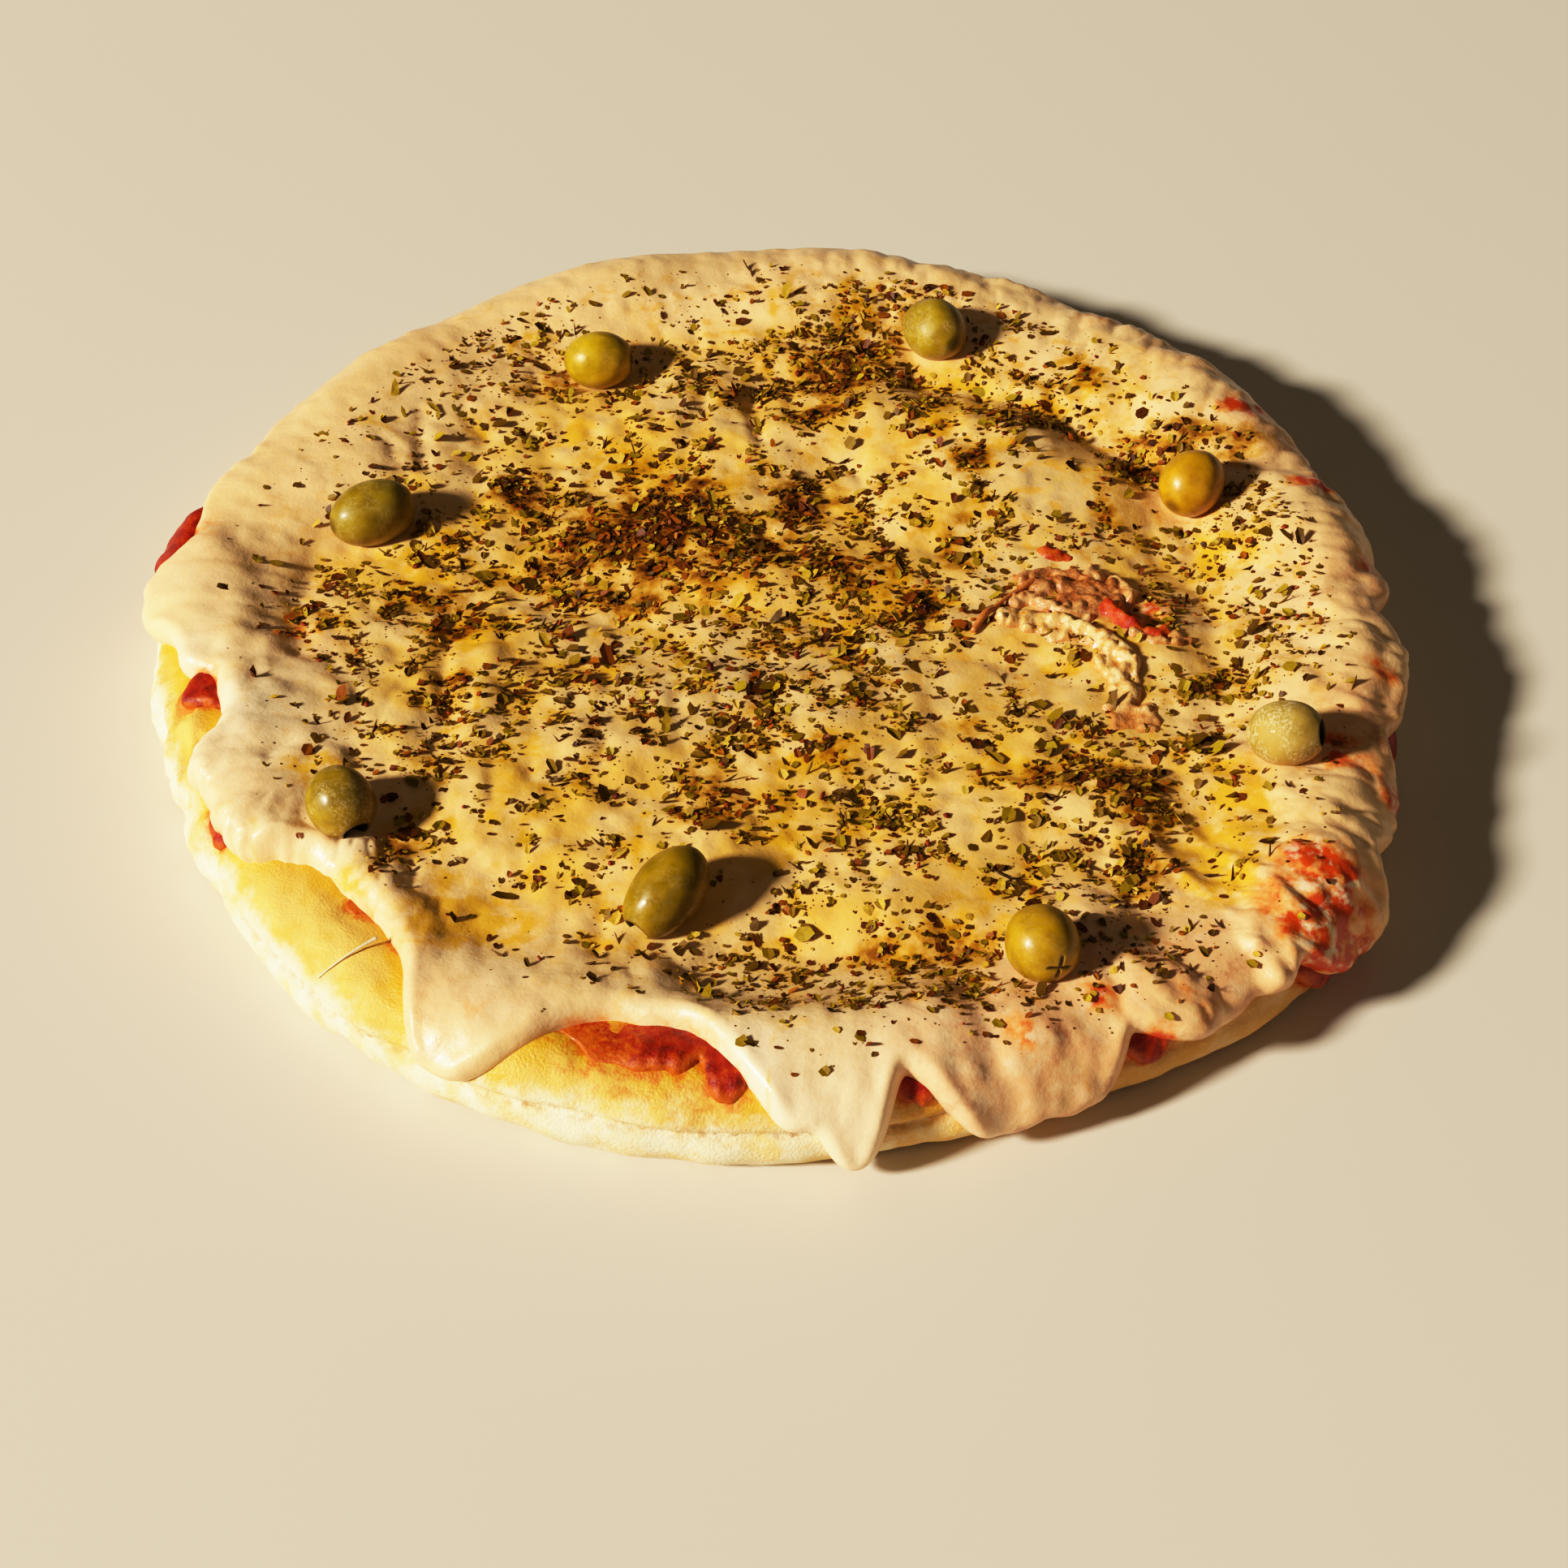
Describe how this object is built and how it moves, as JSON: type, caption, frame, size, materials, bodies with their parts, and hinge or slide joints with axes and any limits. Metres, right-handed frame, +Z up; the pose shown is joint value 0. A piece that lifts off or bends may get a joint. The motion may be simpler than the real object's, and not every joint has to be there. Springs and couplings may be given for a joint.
{
  "type": "four cheese pizza",
  "caption": "Whole round pizza on a thick pale dough base, with tomato sauce, melted cheese dripping over the rim, dried oregano and green olives.",
  "frame": {"origin": "middle of the flat underside of the dough", "axes": "+Z up through the pizza, -Y towards the front that the picture shows"},
  "size_m": [0.3176, 0.3326, 0.0405],
  "materials": {
    "dough": "matt baked dough, pale, oily in places and dusted with flour",
    "tomato_sauce": "moist tomato sauce with fine pulp",
    "melted_cheese": "smooth melted cheese with a film of oil and toasted stains",
    "green_olive": "smooth brined olive skin",
    "oregano": "dry crumbled leaf"
  },
  "bodies": {
    "root": {"dough": "dough", "tomato_sauce": "tomato_sauce", "cheese": "melted_cheese", "olive_1": "green_olive", "olive_2": "green_olive", "olive_3": "green_olive", "olive_4": "green_olive", "olive_5": "green_olive", "olive_6": "green_olive", "olive_7": "green_olive", "olive_8": "green_olive"}
  },
  "joints": []
}
